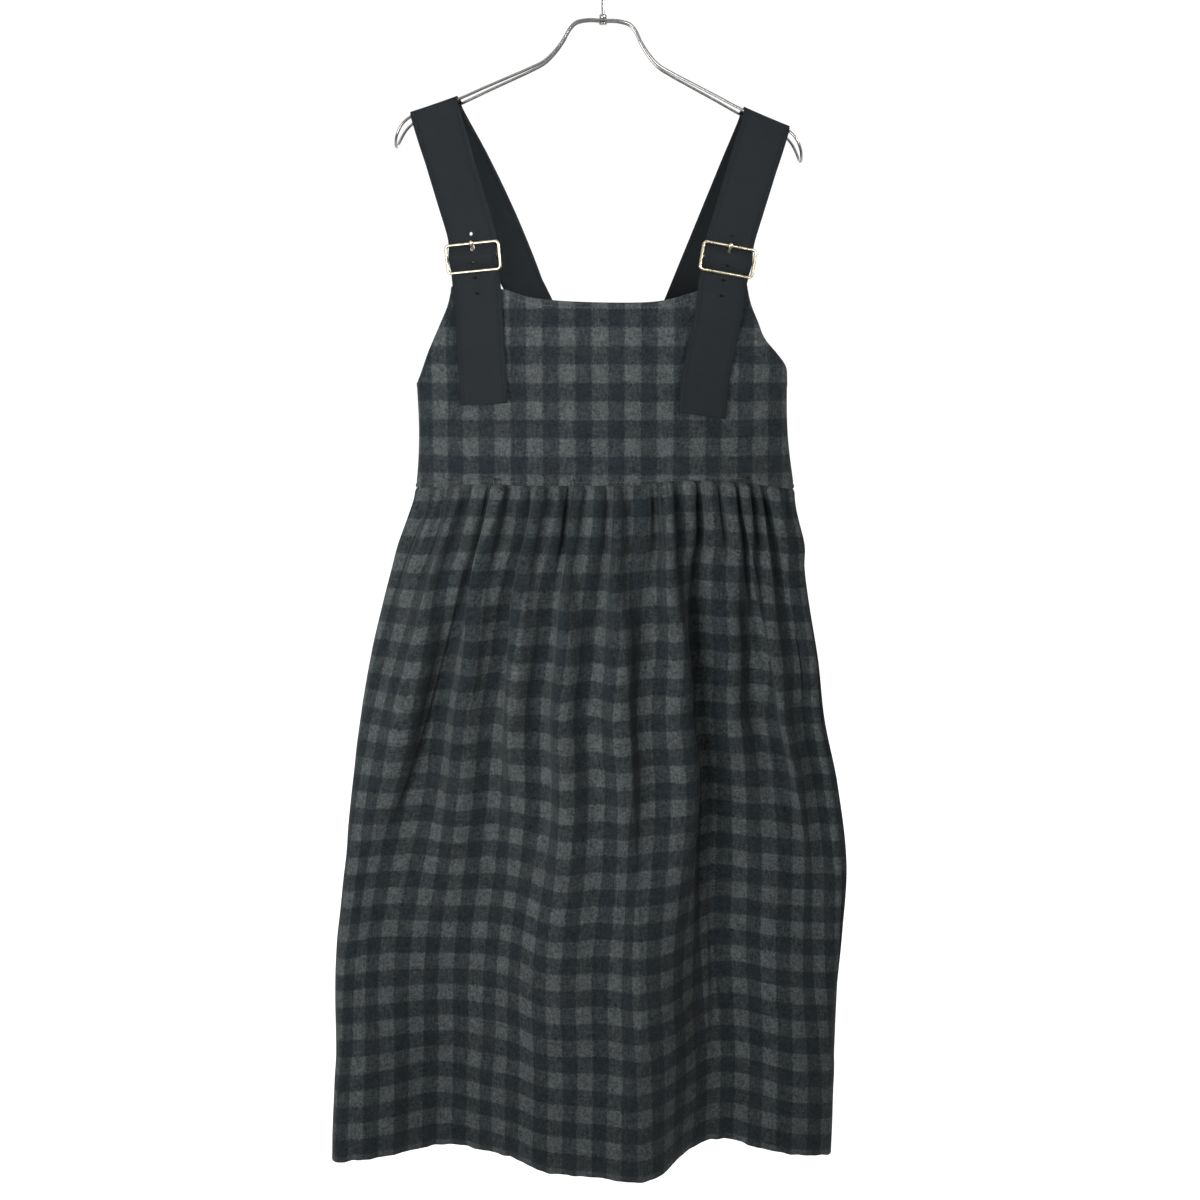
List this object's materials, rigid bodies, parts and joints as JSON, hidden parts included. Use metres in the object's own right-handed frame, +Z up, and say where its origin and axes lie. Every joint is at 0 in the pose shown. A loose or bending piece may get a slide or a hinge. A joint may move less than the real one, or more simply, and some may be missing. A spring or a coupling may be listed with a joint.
{
  "type": "pinafore dress on a wire hanger",
  "caption": "Sleeveless gathered pinafore dress with a square bib and buckled webbing straps, hanging on a chrome wire clothes hanger.",
  "frame": {"origin": "the top of the inside of the hanger's hook, where the rail bears", "axes": "+Z up, -Y the garment's front, +X the garment's left side as worn (the right side of the picture)"},
  "size_m": [0.5567, 0.1784, 1.2639],
  "materials": {
    "flannel": "brushed cotton flannel woven in a charcoal and grey check, matt",
    "webbing": "flat charcoal webbing with a fine selvedge, matt",
    "nickel": "pale champagne nickel plating, satin",
    "chrome": "bright chrome wire"
  },
  "bodies": {
    "root": {"skirt_front": "flannel", "skirt_back": "flannel", "bib_front": "flannel", "bodice_back": "flannel", "strap_left": "webbing", "strap_right": "webbing", "buckle_loop_left": "webbing", "buckle_loop_right": "webbing", "buckle_left": "nickel", "buckle_right": "nickel", "prong_left": "nickel", "prong_right": "nickel", "hanger_wire": "chrome", "hanger_collar": "chrome", "hanger_hook": "chrome"}
  },
  "joints": []
}
